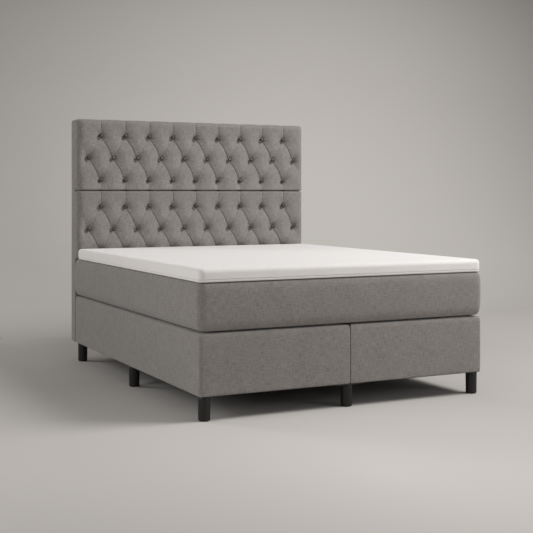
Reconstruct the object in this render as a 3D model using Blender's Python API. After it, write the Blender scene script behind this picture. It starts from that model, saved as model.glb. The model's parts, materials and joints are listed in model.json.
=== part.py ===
"""A box spring bed for two: a base of two upholstered boxes on nine round legs, a mattress,
a topper, and a headboard with two diamond-tufted cushions.

Units are metres. +X is the bed's right as seen from its foot, +Y runs from the foot to the
head, and +Z is up. The origin is on the floor at the centre of the bed's outline.
"""
import math

import bmesh
import bpy
from mathutils import Vector
from mathutils.geometry import delaunay_2d_cdt, tessellate_polygon

# Overall sizes
bed_width = 1.600
bed_length = 2.000
clearance = 0.0003
overrun = 0.002
corner_steps = 3
corner_floor_share = 0.15
flat_angle = math.radians(35)
merge_distance = 0.00001
pocket_turns = ((-60, 0, 60), (-60, 10, 80, 150))

# Base boxes
box_gap = 0.0008
box_height = 0.2965
box_corner_radius = 0.018
box_edge_radius = 0.009
box_bottom_radius = 0.004
box_cover_wall = 0.004
box_hem_wall = 0.002
box_hem_width = 0.028
dust_cloth_wall = 0.001
dust_cloth_inset = 0.008
pad_height = 0.025
box_spring_height = 0.125
box_pockets = (8, 20)
deck_height = 0.012
rail_thickness = 0.020
block_size = 0.074

# Legs
leg_height = 0.113
leg_radius = 0.0292
leg_foot_radius = 0.0282
leg_inset = 0.039
leg_edge = 0.0015
leg_foot_edge = 0.0035
leg_sides = 16
glide_radius = 0.0235
glide_height = 0.003
stud_radius = 0.004
stud_clearance = 0.0008
stud_length = 0.036
small_sides = 8
plate_length = 0.150
plate_width = 0.062
plate_height = 0.004
plate_corner_radius = 0.008

# Mattress
mattress_height = 0.226
mattress_corner_radius = 0.035
mattress_edge_radius = 0.020
mattress_bulge = 0.0035
mattress_cover_wall = 0.006
mattress_hem_width = 0.030
mattress_hem_wall = 0.002
mattress_foam_height = 0.034
mattress_edge_foam_width = 0.070
mattress_pockets = (16, 20)

# Topper
topper_height = 0.064
topper_crown = 0.008
topper_corner_radius = 0.030
topper_edge_radius = 0.022
topper_bottom_radius = 0.009
topper_bulge = 0.002
topper_draw_in = 0.002
topper_cover_wall = 0.004
topper_hem_width = 0.026
topper_hem_wall = 0.0015
topper_spans = (4, 5)
crown_shares = ((0.12, 0.45), (0.36, 0.85), (0.7, 1.0))

# Headboard
headboard_top = 1.511
headboard_corner_radius = 0.014
headboard_edge_radius = 0.006
headboard_cover_wall = 0.003
headboard_hem_width = 0.030
headboard_hem_wall = 0.0015
headboard_panel_thickness = 0.010
headboard_frame_thickness = 0.065
rear_cloth_wall = 0.001
rear_cloth_inset = 0.010
post_width = 0.070
headboard_rail_height = 0.070
headboard_foot_rail_height = 0.130
bolt_radius = 0.004
bolt_clearance = 0.0008
bolt_head_radius = 0.0075
bolt_head_length = 0.005
bolt_reach = 0.012
bolt_rise = 0.067
bolt_side = 0.060
bolt_edge = 0.130

# Tufted cushions
cushion_depth = 0.062
cushion_side_depth = 0.032
cushion_edge_radius = 0.030
cushion_corner_radius = 0.020
cushion_divide = 1.065
cushion_top = 1.514
cushion_foot_gap = 0.0008
cushion_cover_wall = 0.004
cushion_board_thickness = 0.012
tufts_across = 10
tuft_side_margin = 0.0733
upper_tuft_low_margin = 0.066
upper_tuft_high_margin = 0.106
lower_tuft_low_margin = 0.044
lower_tuft_high_margin = 0.103
tuft_depth = 0.028
tuft_saddle_share = 0.5
tuft_reach = 0.050
tuft_divisions = 4
field_margin = 0.026
roll_angles = (math.radians(38), math.radians(68))
button_radius = 0.0125
button_edge = 0.0012
button_height = 0.0085
button_crown = 0.0030
button_sides = 8

# Colours are linear red, green and blue, then roughness, then metallic
grey_cloth = ((0.168, 0.156, 0.143), 0.92)
white_cloth = ((0.80, 0.78, 0.74), 0.90)
black_cloth = ((0.020, 0.020, 0.021), 0.95)
foam = ((0.78, 0.76, 0.66), 0.95)
pocket_cloth = ((0.66, 0.67, 0.69), 0.90)
pine = ((0.56, 0.39, 0.22), 0.65)
plywood = ((0.47, 0.34, 0.21), 0.70)
black_lacquer = ((0.014, 0.013, 0.012), 0.38)
zinc_steel = ((0.55, 0.56, 0.58), 0.38, 0.9)
black_steel = ((0.030, 0.030, 0.032), 0.5, 0.8)

# Where the pieces meet
box_width = (bed_width - box_gap) / 2
box_top = leg_height + box_height
bolt_height = leg_height + bolt_rise
cover_bottom = leg_height + dust_cloth_wall + clearance
frame_bottom = cover_bottom + box_hem_wall + clearance
pad_bottom = box_top - box_cover_wall - clearance - pad_height
box_spring_bottom = pad_bottom - clearance - box_spring_height
deck_bottom = box_spring_bottom - clearance - deck_height
frame_top = deck_bottom - clearance
mattress_bottom = box_top + clearance
mattress_top = mattress_bottom + mattress_height
headboard_shell = (headboard_cover_wall + clearance + headboard_panel_thickness + clearance
                   + headboard_frame_thickness + clearance + headboard_hem_wall)
total_length = (bed_length + clearance + headboard_shell + clearance + rear_cloth_wall)
foot_y = -total_length / 2
head_y = foot_y + bed_length
headboard_y = head_y + clearance
cushion_y = head_y
topper_length = bed_length - cushion_depth - clearance


def clear_scene():
    for old in list(bpy.data.objects):
        bpy.data.objects.remove(old, do_unlink=True)


def make_material(name, colour, roughness, metallic=0.0):
    made = bpy.data.materials.new(name)
    made.use_nodes = True
    shader = made.node_tree.nodes["Principled BSDF"]
    shader.inputs["Base Color"].default_value = (*colour, 1.0)
    shader.inputs["Roughness"].default_value = roughness
    shader.inputs["Metallic"].default_value = metallic
    made.diffuse_color = (*colour, 1.0)
    return made


def add_object(name, bm, finish, place=(0, 0, 0), turn=0.0, parent=None, smooth=True):
    """Turn a bmesh into a named object with outward faces, turned about X."""
    bmesh.ops.recalc_face_normals(bm, faces=bm.faces)
    mesh = bpy.data.meshes.new(name)
    bm.to_mesh(mesh)
    bm.free()
    if smooth:
        mesh.shade_smooth()
        mesh.set_sharp_from_angle(angle=flat_angle)
    made = bpy.data.objects.new(name, mesh)
    made.data.materials.append(make_material(name, *finish))
    bpy.context.scene.collection.objects.link(made)
    made.parent = parent
    made.location = place
    made.rotation_euler = (turn, 0, 0)
    return made


def add_carrier(name, place, parent=None):
    """An empty that carries the pieces of one loose part of the bed."""
    made = bpy.data.objects.new(name, None)
    bpy.context.scene.collection.objects.link(made)
    made.parent = parent
    made.location = place
    return made


def add_cutter(name, bm):
    bmesh.ops.recalc_face_normals(bm, faces=bm.faces)
    mesh = bpy.data.meshes.new(name)
    bm.to_mesh(mesh)
    bm.free()
    made = bpy.data.objects.new(name, mesh)
    bpy.context.scene.collection.objects.link(made)
    made.hide_render = True
    made.display_type = "WIRE"
    return made


def cut(target, cutter):
    modifier = target.modifiers.new(cutter.name, "BOOLEAN")
    modifier.operation = "DIFFERENCE"
    modifier.object = cutter


def loft(bm, rings):
    """Skin a list of rings of equal length and close both ends."""
    laid = [[bm.verts.new(point) for point in ring] for ring in rings]
    for low, high in zip(laid, laid[1:]):
        bridge(bm, low, high)
    bm.faces.new(laid[0][::-1])
    bm.faces.new(laid[-1])


def bridge(bm, low, high):
    for i in range(len(low)):
        j = (i + 1) % len(low)
        bm.faces.new((low[i], low[j], high[j], high[i]))


def circle(radius, z, sides, centre=(0, 0)):
    turn = 2 * math.pi / sides
    return [(centre[0] + radius * math.cos(turn * i), centre[1] + radius * math.sin(turn * i), z)
            for i in range(sides)]


def outline(width, length, radius, inset=0.0, spans=(1, 1), draw_in=0.0):
    """A rectangle with round corners, taken in all round by inset.

    Each straight side has the given number of spans, and is drawn in between its corners.
    """
    half_x = width / 2 - inset
    half_y = length / 2 - inset
    rounding = max(radius - inset, radius * corner_floor_share)
    points = []
    for corner in range(4):
        start = corner * math.pi / 2
        sign_x = 1 if corner in (0, 3) else -1
        sign_y = 1 if corner in (0, 1) else -1
        centre = (sign_x * (half_x - rounding), sign_y * (half_y - rounding))
        for step in range(corner_steps + 1):
            angle = start + step * math.pi / 2 / corner_steps
            points.append((centre[0] + rounding * math.cos(angle),
                           centre[1] + rounding * math.sin(angle)))
        count = spans[0] if corner in (0, 2) else spans[1]
        run = (half_x if corner in (0, 2) else half_y) - rounding
        for step in range(1, count):
            share = step / count
            along = run * (1 - 2 * share)
            across = (half_y if corner in (0, 2) else half_x)
            across -= draw_in * 4 * share * (1 - share)
            if corner == 0:
                points.append((along, across))
            elif corner == 1:
                points.append((-across, along))
            elif corner == 2:
                points.append((-along, -across))
            else:
                points.append((across, -along))
    return points


def ring_at(points, z):
    return [(x, y, z) for x, y in points]


def prism(name, points, low, high, finish, place=(0, 0, 0), turn=0.0, parent=None):
    bm = bmesh.new()
    loft(bm, [ring_at(points, low), ring_at(points, high)])
    return add_object(name, bm, finish, place, turn, parent, smooth=False)


def bar(name, low, high, finish, place, turn=0.0):
    """One square-edged bar between two opposite corners."""
    (x0, y0, z0), (x1, y1, z1) = low, high
    return prism(name, [(x0, y0), (x1, y0), (x1, y1), (x0, y1)], z0, z1, finish, place, turn)


def quarter_turn(width, height, steps):
    """Inset and height of points round a quarter ellipse, from the side to the top."""
    for step in range(1, steps + 1):
        angle = step * math.pi / 2 / steps
        yield width * (1 - math.cos(angle)), height * math.sin(angle)


def ringed(width, length, corner, spans=(1, 1), draw_in=0.0):
    """A function that gives the outline, taken in by an inset, as a ring at a height."""
    def ring(inset, z):
        return ring_at(outline(width, length, corner, inset, spans, draw_in), z)
    return ring


def block_rings(ring, lining, low, high, foot=None, edge=None, edge_steps=3):
    """Rings up a block whose sides are taken in by lining.

    Its bottom and top edges are rounded where the width and height of a rounding are given.
    """
    levels = [(lining, low)]
    if foot:
        turn = reversed([(0.0, 0.0), *quarter_turn(*foot, 2)])
        levels = [(lining + inset, low + foot[1] - rise) for inset, rise in turn]
    if edge:
        turn = [(0.0, 0.0), *quarter_turn(*edge, edge_steps)]
        levels += [(lining + inset, high - edge[1] + rise) for inset, rise in turn]
    else:
        levels.append((lining, high))
    return [ring(inset, z) for inset, z in levels]


def cover_shell(name, size, wall, hem, radii, finish, place, spans=(1, 1), bulge=0.0,
                draw_in=0.0, crown=0.0, turn=0.0, parent=None, edge_steps=3, soft=False):
    """A fitted cloth cover that is open below, with its hem folded in under the filling.

    The outer side swells by bulge at mid height, and the top rises by crown in the middle.
    Over a soft filling the inside is rounded with the outside, one wall away from it.
    """
    width, length, height = size
    hem_width, hem_wall = hem
    corner, edge, foot = radii
    ring = ringed(width, length, corner, spans, draw_in)
    inner_foot = (foot - wall, foot - hem_wall) if soft else None
    inner_edge = (edge - wall, edge - wall) if soft else None
    inside = block_rings(ring, wall + bulge, hem_wall, height - wall, inner_foot, inner_edge)
    outside = block_rings(ring, bulge, 0.0, height, (foot, foot), (edge, edge), edge_steps)
    if bulge:
        outside.insert(len(outside) - edge_steps - 1, ring(0.0, height / 2))
    rings = [*inside[::-1], ring(hem_width, hem_wall), ring(hem_width, 0.0), *outside]
    if crown:
        reach = width / 2 - bulge - edge
        for share, rise_share in crown_shares:
            rings.append(ring(bulge + edge + reach * share, height + crown * rise_share))
    bm = bmesh.new()
    loft(bm, rings)
    return add_object(name, bm, finish, place, turn, parent)


def pocket_outline(across, along, width, length):
    """The outer edge of a block of pocket springs that stand side by side."""
    pitch_x = width / across
    pitch_y = length / along
    rows = [(j + 0.5) * pitch_y for j in range(along)]
    columns = [(i + 0.5) * pitch_x for i in range(across)]
    places = [(x, rows[0]) for x in columns]
    places += [(columns[-1], y) for y in rows[1:]]
    places += [(x, rows[-1]) for x in columns[-2::-1]]
    places += [(columns[0], y) for y in rows[-2:0:-1]]
    points = []
    for i, (x, y) in enumerate(places):
        facing = []
        if y == rows[0]:
            facing.append(-90)
        if x == columns[-1]:
            facing.append(0)
        if y == rows[-1]:
            facing.append(90)
        if x == columns[0]:
            facing.append(180)
        if i == 0:
            facing = [-180, -90]
        for turn in pocket_turns[len(facing) - 1]:
            angle = math.radians(facing[0] + turn)
            points.append((x - width / 2 + pitch_x / 2 * math.cos(angle),
                           y - length / 2 + pitch_y / 2 * math.sin(angle)))
    return points


def build_box(side, sign):
    """One upholstered base box: cover, dust cloth, pad, springs, deck and timber frame.

    Its outer rail has the three blocks that the legs are screwed into.
    """
    centre = (sign * (box_gap / 2 + box_width / 2), foot_y + bed_length / 2)
    lined_width = box_width - 2 * (box_cover_wall + clearance)
    lined_length = bed_length - 2 * (box_cover_wall + clearance)
    lined_radius = box_corner_radius - box_cover_wall - clearance
    lined_plan = outline(lined_width, lined_length, lined_radius)
    cover = cover_shell(f"{side}_box_cover", (box_width, bed_length, box_top - cover_bottom),
                        box_cover_wall, (box_hem_width, box_hem_wall),
                        (box_corner_radius, box_edge_radius, box_bottom_radius), grey_cloth,
                        (*centre, cover_bottom))
    cloth = prism(f"{side}_box_dust_cloth",
                  outline(box_width, bed_length, box_corner_radius, dust_cloth_inset),
                  0, dust_cloth_wall, black_cloth, (*centre, leg_height))
    prism(f"{side}_box_top_pad", lined_plan, 0, pad_height, foam, (*centre, pad_bottom))
    prism(f"{side}_box_springs", pocket_outline(*box_pockets, lined_width, lined_length),
          0, box_spring_height, pocket_cloth, (*centre, box_spring_bottom))
    prism(f"{side}_box_deck", lined_plan, 0, deck_height, plywood, (*centre, deck_bottom))

    half_x = lined_width / 2
    half_y = lined_length / 2
    inner_x = half_x - rail_thickness
    rail_height = frame_top - frame_bottom
    block_y = half_y - rail_thickness - clearance - block_size / 2
    plan = [(inner_x, -half_y), (half_x - lined_radius, -half_y),
            (half_x, lined_radius - half_y), (half_x, half_y - lined_radius),
            (half_x - lined_radius, half_y), (inner_x, half_y)]
    inner_plan = [(-sign * x, y) for x, y in plan]
    prism(f"{side}_box_inner_rail", inner_plan, 0, rail_height, pine, (*centre, frame_bottom))
    for y in (block_y, 0, -block_y):
        plan += [(inner_x, y + block_size / 2), (inner_x - block_size, y + block_size / 2),
                 (inner_x - block_size, y - block_size / 2), (inner_x, y - block_size / 2)]
    outer_plan = [(sign * x, y) for x, y in plan]
    outer_rail = prism(f"{side}_box_outer_rail", outer_plan, 0, rail_height, pine,
                       (*centre, frame_bottom))
    reach = inner_x - clearance
    end_rails = []
    for end, low_y in (("foot", -half_y), ("head", half_y - rail_thickness)):
        end_rails.append(bar(f"{side}_box_{end}_rail", (-reach, low_y, 0),
                             (reach, low_y + rail_thickness, rail_height), pine,
                             (*centre, frame_bottom)))
    return cover, cloth, outer_rail, end_rails[1]


def leg_places():
    """Row, column, x and y of each leg: three rows from foot to head, three legs in each."""
    rows = {"foot": foot_y + leg_inset, "middle": foot_y + bed_length / 2,
            "head": head_y - leg_inset}
    columns = {"left": leg_inset - bed_width / 2, "centre": 0.0, "right": bed_width / 2 - leg_inset}
    for row, y in rows.items():
        for column, x in columns.items():
            yield row, column, x, y


def build_legs():
    """Nine turned legs, each with its glide and its stud, and a plate above each centre leg.

    The plates tie the two boxes together under their seam.
    """
    plates = []
    plate_bottom = leg_height - clearance - plate_height
    for row, column, x, y in leg_places():
        top = leg_height - clearance
        stud_top = leg_height + stud_length
        if column == "centre":
            top = plate_bottom - clearance
            stud_top = leg_height - clearance
            plates.append(prism(f"coupling_plate_{row}",
                                outline(plate_length, plate_width, plate_corner_radius),
                                0, plate_height, black_steel, (x, y, plate_bottom)))
        profile = [(glide_radius, 0), (glide_radius, glide_height),
                   (leg_foot_radius - leg_foot_edge, glide_height),
                   (leg_foot_radius, glide_height + leg_foot_edge),
                   (leg_radius, top - leg_edge), (leg_radius - leg_edge, top),
                   (stud_radius, top), (stud_radius, stud_top)]
        bm = bmesh.new()
        loft(bm, [circle(radius, z, leg_sides) for radius, z in profile])
        add_object(f"leg_{row}_{column}", bm, black_lacquer, (x, y, 0))
    return plates


def bore_for_studs(targets):
    """Clear the legs' studs through the plates, or the dust cloths and outer rails."""
    bores = bmesh.new()
    for _, column, x, y in leg_places():
        low = leg_height - clearance - plate_height - overrun
        high = leg_height + overrun
        if column != "centre":
            high = leg_height + stud_length + clearance
        loft(bores, [circle(stud_radius + stud_clearance, z, small_sides, (x, y))
                     for z in (low, high)])
    cutter = add_cutter("cut_stud_bores", bores)
    for target in targets:
        cut(target, cutter)


def frame_ring(name, outer, inner, low, high, finish, parent):
    """An open frame between an outer and an inner outline with as many points."""
    bm = bmesh.new()
    rings = [ring_at(outer, low), ring_at(outer, high), ring_at(inner, high), ring_at(inner, low)]
    laid = [[bm.verts.new(point) for point in ring] for ring in rings]
    for i, ring in enumerate(laid):
        bridge(bm, ring, laid[(i + 1) % len(laid)])
    return add_object(name, bm, finish, parent=parent, smooth=False)


def filling(name, rings, parent):
    """A block of foam inside a cover."""
    bm = bmesh.new()
    loft(bm, rings)
    return add_object(name, bm, foam, parent=parent)


def build_mattress():
    """A pocket spring mattress: its cover, base cloth, foams and springs."""
    carrier = add_carrier("mattress", (0, foot_y + bed_length / 2, mattress_bottom))
    cover_shell("mattress_cover", (bed_width, bed_length, mattress_height), mattress_cover_wall,
                (mattress_hem_width, mattress_hem_wall),
                (mattress_corner_radius, mattress_edge_radius, mattress_edge_radius), grey_cloth,
                (0, 0, 0), bulge=mattress_bulge, parent=carrier, soft=True)
    prism("mattress_base_cloth",
          outline(bed_width, bed_length, mattress_corner_radius, mattress_hem_width + clearance),
          0, mattress_hem_wall, black_cloth, parent=carrier)
    lining = mattress_cover_wall + mattress_bulge + clearance
    plan = outline(bed_width, bed_length, mattress_corner_radius, lining)
    low = mattress_hem_wall + clearance
    core_low = low + mattress_foam_height + clearance
    high = mattress_height - mattress_cover_wall - clearance - mattress_foam_height
    ring = ringed(bed_width, bed_length, mattress_corner_radius)
    edge = mattress_edge_radius - mattress_cover_wall - clearance
    filling("mattress_base_foam",
            block_rings(ring, lining, low, low + mattress_foam_height,
                        foot=(edge, mattress_edge_radius - low)), carrier)
    filling("mattress_top_foam",
            block_rings(ring, lining, high, high + mattress_foam_height, edge=(edge, edge)),
            carrier)
    inner = lining + mattress_edge_foam_width
    frame_ring("mattress_edge_foam", plan,
               outline(bed_width, bed_length, mattress_corner_radius, inner),
               core_low, high - clearance, foam, carrier)
    core = 2 * (inner + clearance)
    prism("mattress_springs", pocket_outline(*mattress_pockets, bed_width - core, bed_length - core),
          core_low, high - clearance, pocket_cloth, parent=carrier)
    return carrier


def build_topper(mattress):
    """A thin white foam mattress that lies loose on the mattress, up to the headboard."""
    place = (0, (topper_length - bed_length) / 2, mattress_height + clearance)
    carrier = add_carrier("topper", place, mattress)
    cover_shell("topper_cover", (bed_width, topper_length, topper_height), topper_cover_wall,
                (topper_hem_width, topper_hem_wall),
                (topper_corner_radius, topper_edge_radius, topper_bottom_radius), white_cloth,
                (0, 0, 0), topper_spans, topper_bulge, topper_draw_in, topper_crown,
                parent=carrier, soft=True)
    prism("topper_base_cloth",
          outline(bed_width, topper_length, topper_corner_radius, topper_hem_width + clearance,
                  topper_spans, topper_draw_in),
          0, topper_hem_wall, white_cloth, parent=carrier)
    lined = topper_cover_wall + clearance
    low = topper_hem_wall + clearance
    ring = ringed(bed_width, topper_length, topper_corner_radius, topper_spans, topper_draw_in)
    filling("topper_core",
            block_rings(ring, lined + topper_bulge, low, topper_height - lined,
                        (topper_bottom_radius - lined, topper_bottom_radius - low),
                        (topper_edge_radius - lined, topper_edge_radius - lined)), carrier)


def build_headboard():
    """The upholstered back frame of the headboard: cover, panel, posts, rails, rear cloth."""
    height = headboard_top - leg_height
    upright = math.pi / 2
    place = (0, headboard_y + headboard_shell, leg_height + height / 2)
    cover = cover_shell("headboard_cover", (bed_width, height, headboard_shell),
                        headboard_cover_wall, (headboard_hem_width, headboard_hem_wall),
                        (headboard_corner_radius, headboard_edge_radius, headboard_edge_radius),
                        grey_cloth, place, turn=upright, edge_steps=2)
    prism("headboard_rear_cloth",
          outline(bed_width, height, headboard_corner_radius, rear_cloth_inset),
          -clearance - rear_cloth_wall, -clearance, black_cloth, place, upright)
    lining = headboard_cover_wall + clearance
    radius = headboard_corner_radius - lining
    half_x = bed_width / 2 - lining
    half_z = height / 2 - lining
    back = headboard_hem_wall + clearance
    front = back + headboard_frame_thickness
    panel = prism("headboard_panel", outline(2 * half_x, 2 * half_z, radius),
                  front + clearance, front + clearance + headboard_panel_thickness, plywood,
                  place, upright)
    for side, sign in (("left", -1), ("right", 1)):
        plan = [(half_x - post_width, -half_z), (half_x - radius, -half_z),
                (half_x, radius - half_z), (half_x, half_z - radius),
                (half_x - radius, half_z), (half_x - post_width, half_z)]
        prism(f"headboard_{side}_post", [(sign * x, z) for x, z in plan], back, front, pine,
              place, upright)
    reach = half_x - post_width - clearance
    rails = {}
    for level, low, rail_height in (("foot", -half_z, headboard_foot_rail_height),
                                    ("middle", -headboard_rail_height / 2, headboard_rail_height),
                                    ("top", half_z - headboard_rail_height, headboard_rail_height)):
        rails[level] = bar(f"headboard_{level}_rail", (-reach, low, back),
                           (reach, low + rail_height, front), pine, place, upright)
    return cover, panel, rails["foot"]


def bolt_headboard(left_targets, right_targets, shared_targets):
    """Four bolts from the headboard's foot rail into the boxes' head rails, heads sunk in."""
    head_end = headboard_y + headboard_shell - headboard_hem_wall - 2 * clearance
    neck = head_end - bolt_head_length
    tip = head_y - box_cover_wall - clearance - rail_thickness - bolt_reach
    for side, sign, targets in (("left", -1, left_targets), ("right", 1, right_targets)):
        for which, x in (("inner", bolt_side), ("outer", bed_width / 2 - bolt_edge)):
            centre = (sign * x, bolt_height)
            name = f"headboard_bolt_{side}_{which}"
            bolt = bmesh.new()
            loft(bolt, [upright_circle(bolt_radius, tip, centre),
                        upright_circle(bolt_radius, neck, centre),
                        upright_circle(bolt_head_radius, neck, centre),
                        upright_circle(bolt_head_radius, head_end, centre)])
            add_object(name, bolt, zinc_steel)
            bore = bmesh.new()
            wide = bolt_radius + bolt_clearance
            wide_head = bolt_head_radius + bolt_clearance
            loft(bore, [upright_circle(wide, tip - overrun, centre),
                        upright_circle(wide, neck - clearance, centre),
                        upright_circle(wide_head, neck - clearance, centre),
                        upright_circle(wide_head, head_end + overrun, centre)])
            cutter = add_cutter(f"cut_{name}", bore)
            for target in (*targets, *shared_targets):
                cut(target, cutter)


def upright_circle(radius, y, centre):
    return [(centre[0] + px, y, centre[1] + pz) for px, pz, _ in circle(radius, 0, small_sides)]


class Tufting:
    """The diamond tufting of one headboard cushion, seen from the front.

    Points are x and y from the middle of the cushion. Three rows of buttons stand one row
    height apart, and the middle row holds one button more than its neighbours. Pleats run
    from button to button, and straight up and down from the outer rows to the edges.
    """

    def __init__(self, height, low_margin, high_margin):
        self.half_x = bed_width / 2
        self.half_y = height / 2
        self.pitch = (bed_width - 2 * tuft_side_margin) / (tufts_across - 1)
        self.row_height = (height - low_margin - high_margin) / 2
        self.row_y = self.half_y - high_margin - self.row_height
        self.step_x = self.pitch / 2 / tuft_divisions
        self.step_y = self.row_height / tuft_divisions
        self.buttons = {}
        for row in (-1, 0, 1):
            count = tufts_across - abs(row)
            for i in range(count):
                key = ((2 * i - count + 1) * tuft_divisions, row * tuft_divisions)
                self.buttons[key] = self.place(*key)

    def place(self, column, row):
        return column * self.step_x, self.row_y + row * self.step_y

    def relief(self, x, y):
        """Height of the cloth over the button seats: pillows that fall to the pleats."""
        near = min(math.hypot(x - bx, y - by) for bx, by in self.buttons.values())
        y -= self.row_y
        if abs(y) <= self.row_height:
            rise = (y / self.row_height + 1) / 2
            first = abs(math.sin(math.pi * (x / self.pitch + rise)))
            second = abs(math.sin(math.pi * (x / self.pitch - rise)))
            pillow = math.sqrt(first * second)
        else:
            pillow = abs(math.sin(math.pi * x / self.pitch))
        free = 1 - math.exp(-(near / tuft_reach) ** 2)
        return tuft_depth * (tuft_saddle_share * free + (1 - tuft_saddle_share) * pillow)

    def from_edge(self, x, y):
        """Distance from the outline, inwards."""
        dx = self.half_x - cushion_corner_radius - abs(x)
        dy = self.half_y - cushion_corner_radius - abs(y)
        if dx < 0 and dy < 0:
            return cushion_corner_radius - math.hypot(dx, dy)
        return cushion_corner_radius + min(dx, dy)

    def front(self, x, y):
        """Height of the cloth over the cushion's back, rolled down to its sides."""
        full = cushion_depth - tuft_depth + self.relief(x, y)
        share = min(1.0, max(0.0, self.from_edge(x, y) / cushion_edge_radius))
        return cushion_side_depth + (full - cushion_side_depth) * math.sqrt(1 - (1 - share) ** 2)

    def edge(self, inset):
        """The outline taken in by inset, with points where pleats and pillows meet it."""
        half_x = self.half_x - inset
        half_y = self.half_y - inset
        rounding = max(cushion_corner_radius - inset, cushion_corner_radius * corner_floor_share)
        top = [(i * self.pitch / 2, half_y) for i in range(tufts_across - 1, -tufts_across, -1)]
        side = [(half_x, self.row_y + i * self.row_height / 2) for i in (-1, 0, 1)]
        points = []
        for corner, run in enumerate((top, side[::-1], top[::-1], side)):
            sign_x = 1 if corner in (0, 3) else -1
            sign_y = 1 if corner in (0, 1) else -1
            for step in range(corner_steps + 1):
                turn = (corner + step / corner_steps) * math.pi / 2
                points.append((sign_x * (half_x - rounding) + rounding * math.cos(turn),
                               sign_y * (half_y - rounding) + rounding * math.sin(turn)))
            flat = corner in (0, 2)
            points += [(x, sign_y * y) if flat else (sign_x * x, y) for x, y in run]
        return points

    def lattice(self):
        """Columns and rows of the points on and between the pleats, clear of the edge."""
        reach = (tufts_across + 1) * tuft_divisions
        for row in range(-2 * tuft_divisions, 2 * tuft_divisions + 1):
            for column in range(-reach, reach + 1):
                x, y = self.place(column, row)
                inside = abs(x) < self.half_x and abs(y) < self.half_y
                on_lattice = (column + row + tuft_divisions) % 2 == 0
                if inside and on_lattice and self.from_edge(x, y) > field_margin:
                    yield column, row

    def pleats(self, keys):
        """Neighbours on one pleat, as pairs of lattice points."""
        whole = 2 * tuft_divisions
        for column, row in keys:
            if -tuft_divisions <= row < tuft_divisions:
                if (column - row - tuft_divisions) % whole == 0:
                    yield (column, row), (column + 1, row + 1)
                if (column + row + tuft_divisions) % whole == 0:
                    yield (column, row), (column - 1, row + 1)
            elif column % whole == 0:
                yield (column, row), (column, row + 2)
        for column in range(-tufts_across * whole, tufts_across * whole, whole):
            for row in range(-2 * tuft_divisions, -tuft_divisions, 2):
                yield (column, row), (column, row + 2)

    def cloth(self):
        """Points and triangles of the cloth, and a ring of its points round each button."""
        outer = self.edge(0)
        count = len(outer)
        points = list(outer)
        edges = [(i, (i + 1) % count) for i in range(count)]
        for angle in roll_angles:
            points += self.edge(cushion_edge_radius * (1 - math.cos(angle)))
        ends = {}
        for key in self.lattice():
            if key not in self.buttons:
                ends[key] = [len(points)]
                points.append(self.place(*key))
        rings = []
        for key, (x, y) in self.buttons.items():
            ring = list(range(len(points), len(points) + button_sides))
            points += [(px, py) for px, py, _ in circle(button_radius, 0, button_sides, (x, y))]
            edges += [(ring[i - 1], ring[i]) for i in range(button_sides)]
            rings.append(ring)
            ends[key] = ring
        for first, second in set(self.pleats(ends)):
            if first in ends and second in ends:
                edges.append(min(((i, j) for i in ends[first] for j in ends[second]),
                                 key=lambda pair: math.dist(points[pair[0]], points[pair[1]])))
        _, _, faces, origins, _, _ = delaunay_2d_cdt(
            [Vector(point) for point in points], edges, [], 0, merge_distance)
        faces = [[origins[i][0] for i in face] for face in faces]
        seats = [set(ring) for ring in rings]
        faces = [face for face in faces if not any(seat.issuperset(face) for seat in seats)]
        return points, faces, count, rings


def build_cushion(name, bottom, top, margins):
    """One tufted cushion of the headboard: quilted cover with its buttons, foam and board."""
    tufting = Tufting(top - bottom, *margins)
    place = (0, cushion_y, (bottom + top) / 2)
    upright = math.pi / 2
    points, faces, count, rings = tufting.cloth()
    seat = cushion_depth - tuft_depth
    lining = seat - cushion_cover_wall

    bm = bmesh.new()
    cloth = [bm.verts.new((x, y, tufting.front(x, y))) for x, y in points]
    for face in faces:
        bm.faces.new([cloth[i] for i in face])
    for ring, centre in zip(rings, tufting.buttons.values()):
        rim = [bm.verts.new(point) for point in
               circle(button_radius - button_edge, seat + button_height, button_sides, centre)]
        bridge(bm, [cloth[i] for i in ring], rim)
        crown = bm.verts.new((*centre, seat + button_height + button_crown))
        for i, point in enumerate(rim):
            bm.faces.new((rim[i - 1], point, crown))
    hollow = outline(bed_width, top - bottom, cushion_corner_radius, cushion_cover_wall)
    back = [bm.verts.new((x, y, 0)) for x, y in points[:count]]
    mouth = [bm.verts.new((x, y, 0)) for x, y in hollow]
    floor = [bm.verts.new((x, y, lining)) for x, y in hollow]
    bridge(bm, cloth[:count], back)
    rim_faces = tessellate_polygon([[vert.co for vert in back], [vert.co for vert in mouth]])
    for face in rim_faces:
        bm.faces.new([(back + mouth)[i] for i in face])
    bridge(bm, mouth, floor)
    bm.faces.new(floor)
    add_object(f"{name}_cushion_cover", bm, grey_cloth, place, upright)

    plan = outline(bed_width, top - bottom, cushion_corner_radius, cushion_cover_wall + clearance)
    prism(f"{name}_cushion_foam", plan, cushion_board_thickness + clearance, lining - clearance,
          foam, place, upright)
    prism(f"{name}_cushion_board", plan, 0, cushion_board_thickness, plywood, place, upright)


def build_bed():
    clear_scene()
    left_cover, left_cloth, left_rail, left_head_rail = build_box("left", -1)
    right_cover, right_cloth, right_rail, right_head_rail = build_box("right", 1)
    plates = build_legs()
    bore_for_studs((*plates, left_cloth, right_cloth, left_rail, right_rail))
    mattress = build_mattress()
    build_topper(mattress)
    bolt_headboard((left_cover, left_head_rail), (right_cover, right_head_rail),
                   build_headboard())
    build_cushion("lower", mattress_top + cushion_foot_gap, cushion_divide - clearance / 2,
                  (lower_tuft_low_margin, lower_tuft_high_margin))
    build_cushion("upper", cushion_divide + clearance / 2, cushion_top,
                  (upper_tuft_low_margin, upper_tuft_high_margin))
    bpy.context.view_layer.update()


build_bed()
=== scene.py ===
import json
import math

import bmesh
import bpy
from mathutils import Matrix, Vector, noise


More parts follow.
